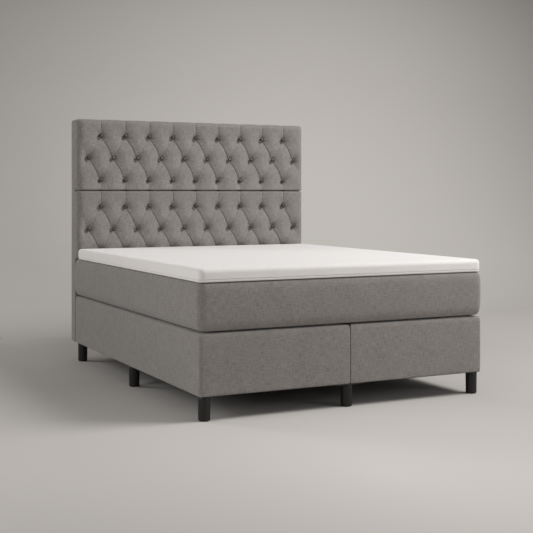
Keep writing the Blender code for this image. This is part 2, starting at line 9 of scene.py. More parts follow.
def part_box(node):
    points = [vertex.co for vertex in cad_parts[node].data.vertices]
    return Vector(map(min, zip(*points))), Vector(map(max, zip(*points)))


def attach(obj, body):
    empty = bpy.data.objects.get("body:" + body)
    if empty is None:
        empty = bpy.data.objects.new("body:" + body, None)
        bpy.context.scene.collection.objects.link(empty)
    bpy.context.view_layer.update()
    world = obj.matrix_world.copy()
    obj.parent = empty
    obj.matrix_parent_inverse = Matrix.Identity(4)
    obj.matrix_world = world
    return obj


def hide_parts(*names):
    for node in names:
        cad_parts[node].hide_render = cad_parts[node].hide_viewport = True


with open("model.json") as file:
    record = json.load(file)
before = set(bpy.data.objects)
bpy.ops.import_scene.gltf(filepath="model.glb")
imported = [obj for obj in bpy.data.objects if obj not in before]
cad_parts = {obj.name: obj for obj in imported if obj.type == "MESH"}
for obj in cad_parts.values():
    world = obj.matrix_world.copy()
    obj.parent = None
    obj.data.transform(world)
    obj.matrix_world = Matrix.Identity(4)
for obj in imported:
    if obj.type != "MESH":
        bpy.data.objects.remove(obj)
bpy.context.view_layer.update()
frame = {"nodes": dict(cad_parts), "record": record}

# Legs. Nine turned legs of beech in black lacquer, each with a felt glide under it.
# They are screwed into the frame's blocks and into the plates under the seam.


class Socket:
    """A node's output, with arithmetic that adds Math nodes."""

    def __init__(self, tree, output):
        self.tree = tree
        self.output = output

    def combined(self, operation, *values):
        """A Math node over the given values."""
        node = self.tree.nodes.new("ShaderNodeMath")
        node.operation = operation
        for entry, value in zip(node.inputs, values):
            plug(self.tree, entry, value)
        return Socket(self.tree, node.outputs[0])

    def maths(self, operation, *others):
        """A Math node with this value first."""
        return self.combined(operation, self, *others)

    def __add__(self, other):
        return self.maths("ADD", other)

    __radd__ = __add__

    def __mul__(self, other):
        return self.maths("MULTIPLY", other)

    __rmul__ = __mul__

    def __sub__(self, other):
        return self.maths("SUBTRACT", other)

    def __rsub__(self, other):
        return self.combined("SUBTRACT", other, self)

    def __pow__(self, other):
        return self.maths("POWER", other)


def plug(tree, entry, value):
    """Link a Socket to a node's input, or set the input to a plain value."""
    if isinstance(value, Socket):
        tree.links.new(value.output, entry)
    else:
        entry.default_value = value


class Finish:
    """One material, built round its Principled shader."""

    def __init__(self, name, **values):
        self.material = bpy.data.materials.new(name)
        self.material.use_nodes = True
        self.tree = self.material.node_tree
        self.shader = self.tree.nodes["Principled BSDF"]
        self.set(**values)

    def set(self, **values):
        """Set or link the shader's inputs, named with an underscore for each space."""
        for name, value in values.items():
            plug(self.tree, self.shader.inputs[name.replace("_", " ")], value)

    def node(self, kind, settings=None, inputs=None, output=0):
        """Any other node, as one of its outputs, or as all of them where output is None."""
        made = self.tree.nodes.new("ShaderNode" + kind)
        for name, value in (settings or {}).items():
            setattr(made, name, value)
        for name, value in (inputs or {}).items():
            plug(self.tree, made.inputs[name], value)
        if output is None:
            return [Socket(self.tree, made_output) for made_output in made.outputs]
        return Socket(self.tree, made.outputs[output])

    def mix(self, share, first, second):
        """A colour between two others. They are inputs 6 and 7 of a Mix node, and output 2."""
        return self.node("Mix", {"data_type": "RGBA"}, {0: share, 6: first, 7: second}, 2)

    def scaled(self, vector, scale):
        """A vector stretched by three factors."""
        return self.node("VectorMath", {"operation": "MULTIPLY"}, {0: vector, 1: scale})

    def grain(self, vector, scale=1.0, detail=2.0, roughness=0.5):
        """Noise from 0 to 1."""
        return self.node("TexNoise", {}, {"Vector": vector, "Scale": scale, "Detail": detail,
                                          "Roughness": roughness})

    def place(self, output="Object"):
        """Where the surface lies on its own object, or with Normal the way it faces there."""
        return self.node("TexCoord", output=output)

    def split(self, vector):
        """A vector's three components."""
        return self.node("SeparateXYZ", inputs={"Vector": vector}, output=None)

    def clamped(self, value):
        """A value kept from 0 to 1."""
        return self.node("Clamp", inputs={"Value": value})

    def bump(self, height, distance):
        """Relief of the surface, at most distance high."""
        self.set(Normal=self.node("Bump", {}, {"Height": height, "Distance": distance,
                                               "Strength": 1.0}))


sharp_angle = math.radians(50)


def new_piece(name, bm, finish, body):
    """A named object from a bmesh, with outward faces and one finish, riding on a body."""
    bmesh.ops.recalc_face_normals(bm, faces=bm.faces)
    mesh = bpy.data.meshes.new(name)
    bm.to_mesh(mesh)
    bm.free()
    mesh.shade_smooth()
    mesh.set_sharp_from_angle(angle=sharp_angle)
    made = bpy.data.objects.new(name, mesh)
    mesh.materials.append(finish.material)
    bpy.context.scene.collection.objects.link(made)
    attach(made, body)
    return made


def skin(bm, rings):
    """Faces between rings of equal length."""
    for low, high in zip(rings, rings[1:]):
        for i in range(len(low)):
            bm.faces.new((low[i - 1], low[i], high[i], high[i - 1]))


def turned(bm, profile, centre, sides, tilt=(0.0, 0.0)):
    """A turned solid from (radius, height) pairs, closed at both ends and leaning by tilt."""
    rings = []
    for radius, z in profile:
        ring = []
        for i in range(sides):
            angle = 2 * math.pi * i / sides
            x = radius * math.cos(angle)
            y = radius * math.sin(angle)
            ring.append(bm.verts.new((centre[0] + x, centre[1] + y, z + tilt[0] * x + tilt[1] * y)))
        rings.append(ring)
    skin(bm, rings)
    bm.faces.new(rings[0][::-1])
    bm.faces.new(rings[-1])


def quarter_turns(count):
    """The angles from 0 to a right angle in so many steps."""
    return [step / count * math.pi / 2 for step in range(count + 1)]


lacquer = Finish("black_lacquer", Specular_IOR_Level=0.38)
brushed = lacquer.grain(lacquer.scaled(lacquer.place(), (260, 260, 30)), detail=3.0)
lacquer.set(Base_Color=lacquer.mix(brushed, (0.007, 0.0068, 0.0062, 1), (0.013, 0.0125, 0.0115, 1)),
            Roughness=0.34 + 0.16 * brushed)
lacquer.bump(brushed, 0.0002)

felt = Finish("black_felt", Sheen_Weight=0.2)
fibre = felt.grain(felt.place(), 2400.0, detail=4.0)
felt.set(Base_Color=felt.mix(fibre, (0.006, 0.006, 0.006, 1), (0.018, 0.017, 0.016, 1)),
         Roughness=0.85 + 0.15 * fibre)
felt.bump(fibre, 0.0006)

leg_top = 0.1127
centre_leg_top = 0.1085
leg_radius = 0.0292
leg_foot_radius = 0.0282
leg_edge = 0.0012
foot_rounding = 0.0040
foot_recess_radius = 0.018
taper_start = 0.010
taper_height = 0.095
stud_radius = 0.004
least_stud = 0.004
glide_radius = 0.0240
glide_height = 0.0032
glide_edge = 0.0008
glide_seat = 0.0006
for node in [name for name in frame["nodes"] if name.startswith("leg_")]:
    low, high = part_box(node)
    centre = ((low.x + high.x) / 2, (low.y + high.y) / 2)
    top = centre_leg_top if "centre" in node else leg_top
    sole = glide_height - glide_seat
    profile = [(foot_recess_radius, sole), (leg_foot_radius - foot_rounding, sole)]
    for turn in quarter_turns(6)[1:]:
        profile.append((leg_foot_radius - foot_rounding * (1 - math.sin(turn)),
                        sole + foot_rounding * (1 - math.cos(turn))))
    profile += [(leg_foot_radius + (leg_radius - leg_foot_radius) * share,
                 taper_start + taper_height * share) for share in (0.1, 0.4, 0.7, 0.94)]
    profile += [(leg_radius, top - leg_edge), (leg_radius - leg_edge, top), (stud_radius, top),
                (stud_radius, max(top + least_stud, high.z))]
    bm = bmesh.new()
    turned(bm, profile, centre, sides=56)
    leg = new_piece(f"{node}_turned", bm, lacquer, "bed")
    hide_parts(node)
    bm = bmesh.new()
    turned(bm, [(glide_radius - glide_edge, 0), (glide_radius, glide_edge),
                (glide_radius, glide_height - glide_edge)], centre, sides=40)
    glide = new_piece(f"{node}_glide", bm, felt, "bed")

# Coupling plates and bolts. Pressed steel plates in black paint tie the two boxes together
# under their seam, and zinc-plated bolts hold the headboard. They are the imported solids.


def refinished(node, finish):
    """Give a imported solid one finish."""
    node.data.materials.clear()
    node.data.materials.append(finish.material)


black_steel = Finish("black_steel", Metallic=0.2)
speck = black_steel.grain(black_steel.place(), 900.0, detail=3.0)
black_steel.set(Base_Color=black_steel.mix(speck, (0.02, 0.02, 0.021, 1), (0.038, 0.038, 0.040, 1)),
                Roughness=0.42 + 0.2 * speck)
black_steel.bump(speck, 0.0002)

zinc = Finish("zinc_steel", Metallic=0.9)
spangle = zinc.grain(zinc.place(), 500.0)
zinc.set(Base_Color=zinc.mix(spangle, (0.50, 0.51, 0.52, 1), (0.62, 0.62, 0.60, 1)),
         Roughness=0.3 + 0.2 * spangle)

for name, node in frame["nodes"].items():
    if name.startswith("coupling_plate"):
        refinished(node, black_steel)
    if name.startswith("headboard_bolt"):
        refinished(node, zinc)

# Timber and fillings inside the boxes, the mattress, the topper and the headboard. Pine rails
# and posts, plywood decks, foam, and pocket springs in spunbond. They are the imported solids.

pine = Finish("pine")
place = pine.place()
wobble = pine.grain(place, 3.0)
rings = pine.node("TexWave", {"wave_type": "RINGS", "rings_direction": "Y"},
                  {"Vector": pine.scaled(place, (9, 0.7, 9)), "Scale": 1.4, "Distortion": 5.0,
                   "Detail": 3.0})
pine.set(Base_Color=pine.mix(rings, (0.62, 0.44, 0.25, 1), (0.45, 0.27, 0.13, 1)),
         Roughness=0.6 + 0.15 * wobble)
pine.bump(rings, 0.0004)

plywood = Finish("plywood")
veneer = plywood.grain(plywood.scaled(plywood.place(), (40, 3, 40)), detail=5.0)
plywood.set(Base_Color=plywood.mix(veneer, (0.40, 0.28, 0.16, 1), (0.56, 0.42, 0.27, 1)),
            Roughness=0.65 + 0.1 * veneer)
plywood.bump(veneer, 0.0003)

foam = Finish("foam")
cells = foam.node("TexVoronoi", {"feature": "F1"}, {"Vector": foam.place(), "Scale": 700.0})
foam.set(Base_Color=foam.mix(cells, (0.72, 0.70, 0.58, 1), (0.80, 0.78, 0.68, 1)),
         Roughness=0.85 + 0.15 * cells)
foam.bump(cells, 0.0008)

spunbond = Finish("pocket_cloth")
press = spunbond.node("TexVoronoi", {"feature": "F1"}, {"Vector": spunbond.place(), "Scale": 420.0})
spunbond.set(Base_Color=spunbond.mix(press, (0.60, 0.61, 0.63, 1), (0.72, 0.73, 0.75, 1)),
             Roughness=0.8 + 0.15 * press)
spunbond.bump(press, 0.0005)

inner_looks = {"pine": pine, "plywood": plywood, "foam": foam, "pocket_cloth": spunbond}
for part in frame["record"]["subparts"]:
    look = inner_looks.get(part["material_slot"])
    if look:
        refinished(frame["nodes"][part["node"]], look)

# Base boxes. Two timber boxes side by side, each upholstered in grey woven cloth over thin
# wadding, with the hem folded under and stapled below. Their tops lie under the mattress.

level_limit = 0.7
slub_length = 9
fleck_length = 28
fleck_width = 240
fleck_weight = 0.95
cloud_weight = 0.22
cool_tint = (0.98, 1.01, 1.01)
warm_tint = (1.03, 0.99, 0.99)


def woven(name, dark, light, pitch, relief, sheen, streak=0.5, rough=0.78):
    """A plain weave of flecked yarn. It runs level and upright on sides, square on tops.

    pitch is the space from yarn to yarn, relief their height, and streak how far they differ
    in tone between dark and light.
    """
    finish = Finish(name, Sheen_Weight=sheen, Sheen_Roughness=0.45, Specular_IOR_Level=0.25)
    place = finish.place()
    x, y, z = finish.split(place)
    facing = [part.maths("ABSOLUTE") for part in finish.split(finish.place("Normal"))]
    upright = facing[2].maths("LESS_THAN", level_limit)
    sideways = upright * facing[0].maths("GREATER_THAN", facing[1])
    across = x + (y - x) * sideways
    along = y + (z - y) * upright
    cloth = finish.node("CombineXYZ", inputs={"X": across, "Y": along})
    slubs = [finish.grain(finish.scaled(cloth, stretch), detail=3.0, roughness=0.65)
             for stretch in ((1 / pitch / slub_length, 1 / pitch, 1),
                             (1 / pitch, 1 / pitch / slub_length, 1))]
    flecks = [finish.grain(finish.scaled(cloth, stretch), roughness=0.6)
              for stretch in ((fleck_length, fleck_width, 1), (fleck_width, fleck_length, 1))]
    cross = (across * (math.pi / pitch)).maths("SINE") * (along * (math.pi / pitch)).maths("SINE")
    over = cross.maths("GREATER_THAN", 0.0)
    yarn = over * slubs[0] + (1 - over) * slubs[1]
    cloud = finish.grain(place, 11.0, detail=3.0, roughness=0.6)
    tone = streak * ((yarn - 0.5) + fleck_weight * (flecks[0] + flecks[1] - 1.0))
    tone = tone + cloud_weight * (cloud - 0.5) + 0.5
    cool, warm = [tuple(value * factor for value, factor in zip(light, tint)) + (1,)
                  for tint in (cool_tint, warm_tint)]
    pale = finish.mix(finish.grain(place, 9.0, roughness=0.6), cool, warm)
    finish.set(Base_Color=finish.mix(finish.clamped(tone), (*dark, 1), pale),
               Roughness=rough + 0.18 * yarn)
    finish.bump(cross.maths("ABSOLUTE").maths("SQRT") + 0.5 * yarn, relief)
    return finish


grey_cloth = woven("grey_cloth", (0.111, 0.1015, 0.0935), (0.3775, 0.3535, 0.3315), pitch=0.0016,
                   relief=0.0005, sheen=0.25, streak=0.85)

outline_spacing = 0.035
corner_steps = 8
least_rounding_share = 0.15


def plan(width, length, radii, inset):
    """A rectangle taken in by inset, with a radius for each corner from the head's right on.

    Every inset gives the same number of points, so that rings can be skinned.
    """
    arcs = []
    for corner, radius in enumerate(radii):
        sign_x = 1 if corner in (0, 3) else -1
        sign_y = 1 if corner in (0, 1) else -1
        rounding = max(radius - inset, radius * least_rounding_share)
        centre = (sign_x * (width / 2 - inset - rounding), sign_y * (length / 2 - inset - rounding))
        turns = [(corner + step / corner_steps) * math.pi / 2 for step in range(corner_steps + 1)]
        arcs.append([(centre[0] + rounding * math.cos(turn), centre[1] + rounding * math.sin(turn))
                     for turn in turns])
    points = []
    for corner, arc in enumerate(arcs):
        start = arc[-1]
        end = arcs[(corner + 1) % 4][0]
        count = round((width if corner in (0, 2) else length) / outline_spacing)
        points += arc
        points += [(start[0] + (end[0] - start[0]) * step / count,
                    start[1] + (end[1] - start[1]) * step / count) for step in range(1, count)]
    return points


slight_inset = 0.001
side_reach = 0.05
broad_wave = (2.3, 5.0)
fine_wave = (9.0, 11.0)
fine_wave_share = 0.3
top_wave_share = 0.6
swell_power = 0.6


def upholstered(name, finish, body, corners, radii, levels, swell, wave, seed):
    """A padded block between two corners, skinned from rings of (inset, height).

    Its cloth swells by swell at mid height, or where that is negative is drawn in by it at the
    edges, and undulates by wave.
    """
    low, high = corners
    size = high - low
    middle = (low + high) / 2
    outer = plan(size.x, size.y, radii, 0)
    inner = plan(size.x, size.y, radii, slight_inset)
    normals = [Vector((ox - x, oy - y)).normalized() for (ox, oy), (x, y) in zip(outer, inner)]
    bm = bmesh.new()
    rings = []
    for inset, z in levels:
        share = min(1.0, max(0.0, (z - low.z) / size.z))
        side = max(0.0, 1 - inset / side_reach)
        bulge = abs(swell) * (4 * share * (1 - share)) ** swell_power + min(0.0, swell)
        ring = []
        for (x, y), (ox, oy), normal in zip(plan(size.x, size.y, radii, inset), outer, normals):
            rise = noise.noise(Vector((ox * broad_wave[0] + seed, oy * broad_wave[0],
                                       z * broad_wave[1])))
            rise += fine_wave_share * noise.noise(Vector((ox * fine_wave[0], oy * fine_wave[0] + seed,
                                                          z * fine_wave[1])))
            out = (bulge + wave * rise) * side
            ring.append(bm.verts.new((middle.x + x + normal.x * out, middle.y + y + normal.y * out,
                                      z + top_wave_share * wave * rise * (1 - side))))
        rings.append(ring)
    skin(bm, rings)
    bm.faces.new(rings[-1])
    bm.faces.new(rings[0][::-1])
    return new_piece(name, bm, finish, body)


side_steps = 7
groove_clearance = 1.5


def rolled_levels(low_z, high_z, hem, bottom, edge, top_insets, lift, crown, crown_reach,
                  grooves=()):
    """Rings from the hem's lip, round the bottom edge, up the side and in over the top.

    bottom and edge are each a rounding's width and height. Towards the bottom edge the cloth
    rises by lift, and from the top edge inwards it rises by crown. Each groove is a height,
    a half width and a depth.
    """
    low_edge = low_z + lift
    high_edge = high_z - crown
    levels = [(hem * lip + bottom[0] * way, low_z + lift * rise)
              for lip, way, rise in ((1.0, 0.0, 0.0), (0.7, 0.3, 0.25), (0.3, 0.7, 0.8))]
    levels += [(bottom[0] * (1 - math.cos(turn)), low_edge + bottom[1] * (1 - math.sin(turn)))
               for turn in reversed(quarter_turns(7))]
    start = low_edge + bottom[1]
    span = high_edge - edge[1] - start
    side = [(0.0, start + span * step / side_steps) for step in range(1, side_steps + 1)]
    for height, half, depth in grooves:
        side = [(inset, z) for inset, z in side if abs(z - low_z - height) > groove_clearance * half]
        side += [(0.0, low_z + height - half), (depth, low_z + height), (0.0, low_z + height + half)]
    levels += sorted(side, key=lambda level: level[1])
    levels += [(edge[0] * (1 - math.cos(turn)), high_edge - edge[1] * (1 - math.sin(turn)))
               for turn in quarter_turns(9)[1:]]
    levels += [(inset, high_edge + crown * (1 - math.exp(-(inset - edge[0]) / crown_reach)))
               for inset in top_insets]
    return levels


wide_insets = (0.03, 0.045, 0.065, 0.09, 0.13, 0.2, 0.3, 0.38)
box_wadding = 0.0043
seam_corner = 0.0055
outer_corner = 0.018
for side in ("left", "right"):
    corner_radii = [seam_corner, outer_corner, outer_corner, seam_corner]
    seed = 3.0
    if side == "right":
        corner_radii = [outer_corner, seam_corner, seam_corner, outer_corner]
        seed = 11.0
    for node, part, finish, wall, slot in (
            ("box_cover", "upholstery", grey_cloth, 0.0, "grey_cloth"),
            ("box_top_pad", "padding", foam, box_wadding, "foam")):
        low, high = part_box(f"{side}_{node}")
        levels = rolled_levels(low.z, high.z, hem=0.028, bottom=(0.005 - wall, 0.010 - 2 * wall),
                               edge=(0.011 - wall / 2, 0.028 - wall / 2), top_insets=wide_insets,
                               lift=0.0005, crown=0.0070, crown_reach=0.055)
        box = upholstered(f"{side}_box_{part}", finish, "bed", (low, high),
                          [radius - wall for radius in corner_radii], levels, swell=-0.0008,
                          wave=0.0006, seed=seed)
        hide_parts(f"{side}_{node}")

# Dust cloths. Thin black spunbond stapled under each box, on the mattress's base and over the
# headboard's back, with a pale one under the topper. Each is a flat sheet, slightly slack.

sheet_cell = 0.05
sheet_thickness = 0.0006
belly_slope = 8
sheet_wave = 4


def stretched(name, finish, body, node, axis, slack):
    """A sheet over a packed cloth's place, sagging outwards by slack between its edges."""
    low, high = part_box(node)
    first, second = [i for i in range(3) if i != axis]
    outward = -1 if axis == 2 else 1
    surface = (low if outward < 0 else high)[axis]
    counts = [max(2, round((high[i] - low[i]) / sheet_cell)) for i in (first, second)]
    bm = bmesh.new()
    layers = []
    for level in (0, 1):
        grid = []
        for i in range(counts[0] + 1):
            row = []
            for j in range(counts[1] + 1):
                s = i / counts[0]
                t = j / counts[1]
                point = [0.0, 0.0, 0.0]
                point[first] = low[first] + (high[first] - low[first]) * s
                point[second] = low[second] + (high[second] - low[second]) * t
                belly = min(1.0, belly_slope * min(s, 1 - s, t, 1 - t))
                wave = noise.noise(Vector((point[first] * sheet_wave, point[second] * sheet_wave,
                                           axis)))
                sag = outward * slack * belly * (0.2 + 0.3 * wave)
                point[axis] = surface + sag - outward * sheet_thickness * level
                row.append(bm.verts.new(point))
            grid.append(row)
        layers.append(grid)
    for grid in layers:
        for i in range(counts[0]):
            for j in range(counts[1]):
                bm.faces.new((grid[i][j], grid[i + 1][j], grid[i + 1][j + 1], grid[i][j + 1]))
    rims = []
    for grid in layers:
        rim = [grid[i][0] for i in range(counts[0])]
        rim += [grid[counts[0]][j] for j in range(counts[1])]
        rim += [grid[i][counts[1]] for i in range(counts[0], 0, -1)]
        rim += [grid[0][j] for j in range(counts[1], 0, -1)]
        rims.append(rim)
    skin(bm, rims)
    piece = new_piece(name, bm, finish, body)
    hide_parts(node)
    return piece


dust_cloth = Finish("black_spunbond", Sheen_Weight=0.1)
web = dust_cloth.grain(dust_cloth.place(), 900.0, detail=5.0, roughness=0.7)
emboss = dust_cloth.node("TexVoronoi", {"feature": "F1"}, {"Vector": dust_cloth.place(), "Scale": 500.0})
dust_cloth.set(Base_Color=dust_cloth.mix(web, (0.012, 0.012, 0.013, 1), (0.032, 0.032, 0.034, 1)),
               Roughness=0.82 + 0.15 * web)
dust_cloth.bump(emboss + web, 0.0004)

for side in ("left", "right"):
    stretched(f"{side}_dust_cloth", dust_cloth, "bed", f"{side}_box_dust_cloth", axis=2,
                      slack=0.0015)

# Mattress. Pocket springs and foam in a cover of the same grey cloth, rounded on every edge,
# loose on the boxes. Its base is closed with black cloth.

mattress_corner = 0.036
low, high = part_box("mattress_cover")
levels = rolled_levels(low.z, high.z, hem=0.030, bottom=(0.020, 0.050), edge=(0.010, 0.040),
                       top_insets=wide_insets + (0.5, 0.78), lift=0.0015, crown=0.0020,
                       crown_reach=0.02)
mattress = upholstered("mattress_body", grey_cloth, "mattress", (low, high), [mattress_corner] * 4,
                       levels, swell=0.0090, wave=0.0012, seed=27.0)
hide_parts("mattress_cover")
stretched("mattress_base", dust_cloth, "mattress", "mattress_base_cloth", axis=2,
                  slack=0.0002)

# Topper. A foam topper in a white cloth cover, rounded on its edges and slightly crowned.
# It lies loose on the mattress and ends at the headboard's cushions.

white_cloth = woven("white_cloth", (0.755, 0.73, 0.708), (0.873, 0.849, 0.831), pitch=0.0012,
                    relief=0.0003, sheen=0.15, streak=0.3)
pale_spunbond = Finish("white_spunbond")
web = pale_spunbond.grain(pale_spunbond.place(), 900.0, detail=5.0, roughness=0.7)
pale_spunbond.set(Base_Color=pale_spunbond.mix(web, (0.62, 0.61, 0.59, 1), (0.74, 0.73, 0.71, 1)),
                  Roughness=0.82 + 0.15 * web)
pale_spunbond.bump(web, 0.0004)

topper_head_corner = 0.014
topper_foot_corner = 0.031
low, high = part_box("topper_cover")
levels = rolled_levels(low.z, high.z, hem=0.026, bottom=(0.005, 0.006), edge=(0.020, 0.022),
                       top_insets=wide_insets + (0.5, 0.76), lift=0.0015, crown=0.006,
                       crown_reach=0.12, grooves=[(0.0135, 0.0024, 0.0040)])
topper = upholstered("topper_body", white_cloth, "topper", (low, high),
                     [topper_head_corner] * 2 + [topper_foot_corner] * 2, levels, swell=-0.0015,
                     wave=0.0010, seed=41.0)
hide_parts("topper_cover")
stretched("topper_base", pale_spunbond, "topper", "topper_base_cloth", axis=2,
                  slack=0.0002)

# Headboard back. A timber frame with a front panel, covered in the same cloth, its hem stapled
# at the back under a black cloth. Its plain sides show behind the cushions.


def stood_up(vertices, back_y, base_z):
    """Stand a piece that was made lying on its back: its back comes to back_y."""
    for vert in vertices:
        x, y, z = vert.co
        vert.co = (x, back_y - z, base_z + y)


headboard_corner = 0.014
rear_edge = 0.006
front_edge = 0.008
low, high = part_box("headboard_cover")
depth = high.y - low.y
levels = [(0.030, 0.0), (0.018, 0.0)]
levels += [(rear_edge * (1 - math.cos(turn)), rear_edge * (1 - math.sin(turn)))
           for turn in reversed(quarter_turns(5))]
levels += [(0.0, rear_edge + (depth - (rear_edge + front_edge)) * step / 6) for step in range(1, 7)]
levels += [(front_edge * (1 - math.cos(turn)), depth - front_edge + front_edge * math.sin(turn))
           for turn in quarter_turns(6)[1:]]
levels += [(inset, depth) for inset in (0.03, 0.08, 0.2, 0.4, 0.69)]
back = upholstered("headboard_back", grey_cloth, "bed",
                   (Vector((low.x, low.z, 0)), Vector((high.x, high.z, depth))),
                   [headboard_corner] * 4, levels, swell=-0.0006, wave=0.0008, seed=61.0)
stood_up(back.data.vertices, high.y, 0.0)
back.data.update()
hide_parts("headboard_cover")
stretched("headboard_rear", dust_cloth, "bed", "headboard_rear_cloth", axis=1,
                  slack=0.0002)

# Tufted cushions. Two padded cushions of foam and wadding on boards, in the same cloth, drawn
# down by three rows of covered buttons. The cloth's fullness lies in pleats from button to
# button, and from the outer buttons straight to the edges.

headboard_width = 1.6
tufts_across = 10
tuft_side_margin = 0.0733
tuft_pitch = (headboard_width - 2 * tuft_side_margin) / (tufts_across - 1)
cushion_depth = 0.062
side_depth = 0.018
side_roll = 0.045
tuft_depth = 0.0305
cushion_margins = {"upper": (0.066, 0.106), "lower": (0.044, 0.103)}
cushion_rolls = {"upper": (0.009, 0.032), "lower": (0.026, 0.009)}
cushion_corners = {"upper": (0.020, 0.022), "lower": (0.010, 0.020)}
cell_steps = 26
cell_crowding = 1.7
margin_spacing = 0.007
edge_cuts = (0.028, 0.022, 0.016, 0.011, 0.007, 0.0035, 0.0012, 0.0)
places_per_metre = 20000
dimple_reach = 0.036
dimple_lean = 0.22
dimple_turn = 0.6
dimple_power = 1.2
pleat_bow = 0.0015
bow_skew = 0.35
bow_start = 0.004
bow_reach = 0.03
pleat_start = 0.05
pleat_fade = 0.022
crease_power = 0.9
falling_valley = 0.0045
rising_valley = 0.0035
straight_valley = 0.0030
valley_reach = 0.030
fan_angle = math.radians(58)
fan_turns = (-0.42, -0.16, 0.12, 0.40)
fan_sway = 0.12
fan_depth = 0.0044
fan_length = 0.026
fan_width = 0.0030
fan_start = 0.012
pucker_height = 0.0009
pucker_count = 7
pucker_shift = 9
pucker_ring = 0.026
pucker_width = 0.014
undulations = ((0.0010, 7, 0), (0.0006, 26, 5))
seed_per_metre = 40
row_cell = 0.12
edge_pull = 0.0022
edge_pull_width = 0.022


def clustered(count):
    """Shares from 0 to 1 that crowd towards both ends."""
    shares = []
    for i in range(count + 1):
        t = 2 * i / count - 1
        shares.append(0.5 + 0.5 * math.copysign(1 - (1 - abs(t)) ** cell_crowding, t))
    return shares


def off_column(x):
    """How far x lies from the nearest column of the outer buttons."""
    return (x / tuft_pitch - round(x / tuft_pitch)) * tuft_pitch


def hump(offset, width):
    """A smooth hump, 1 at its middle."""
    return math.exp(-(offset / width) ** 2)


def crease(offset, depth, steep, gentle):
    """A pleat's valley, steep on one side and gentle on the other."""
    return depth * math.exp(-(abs(offset) / (steep if offset > 0 else gentle)) ** crease_power)


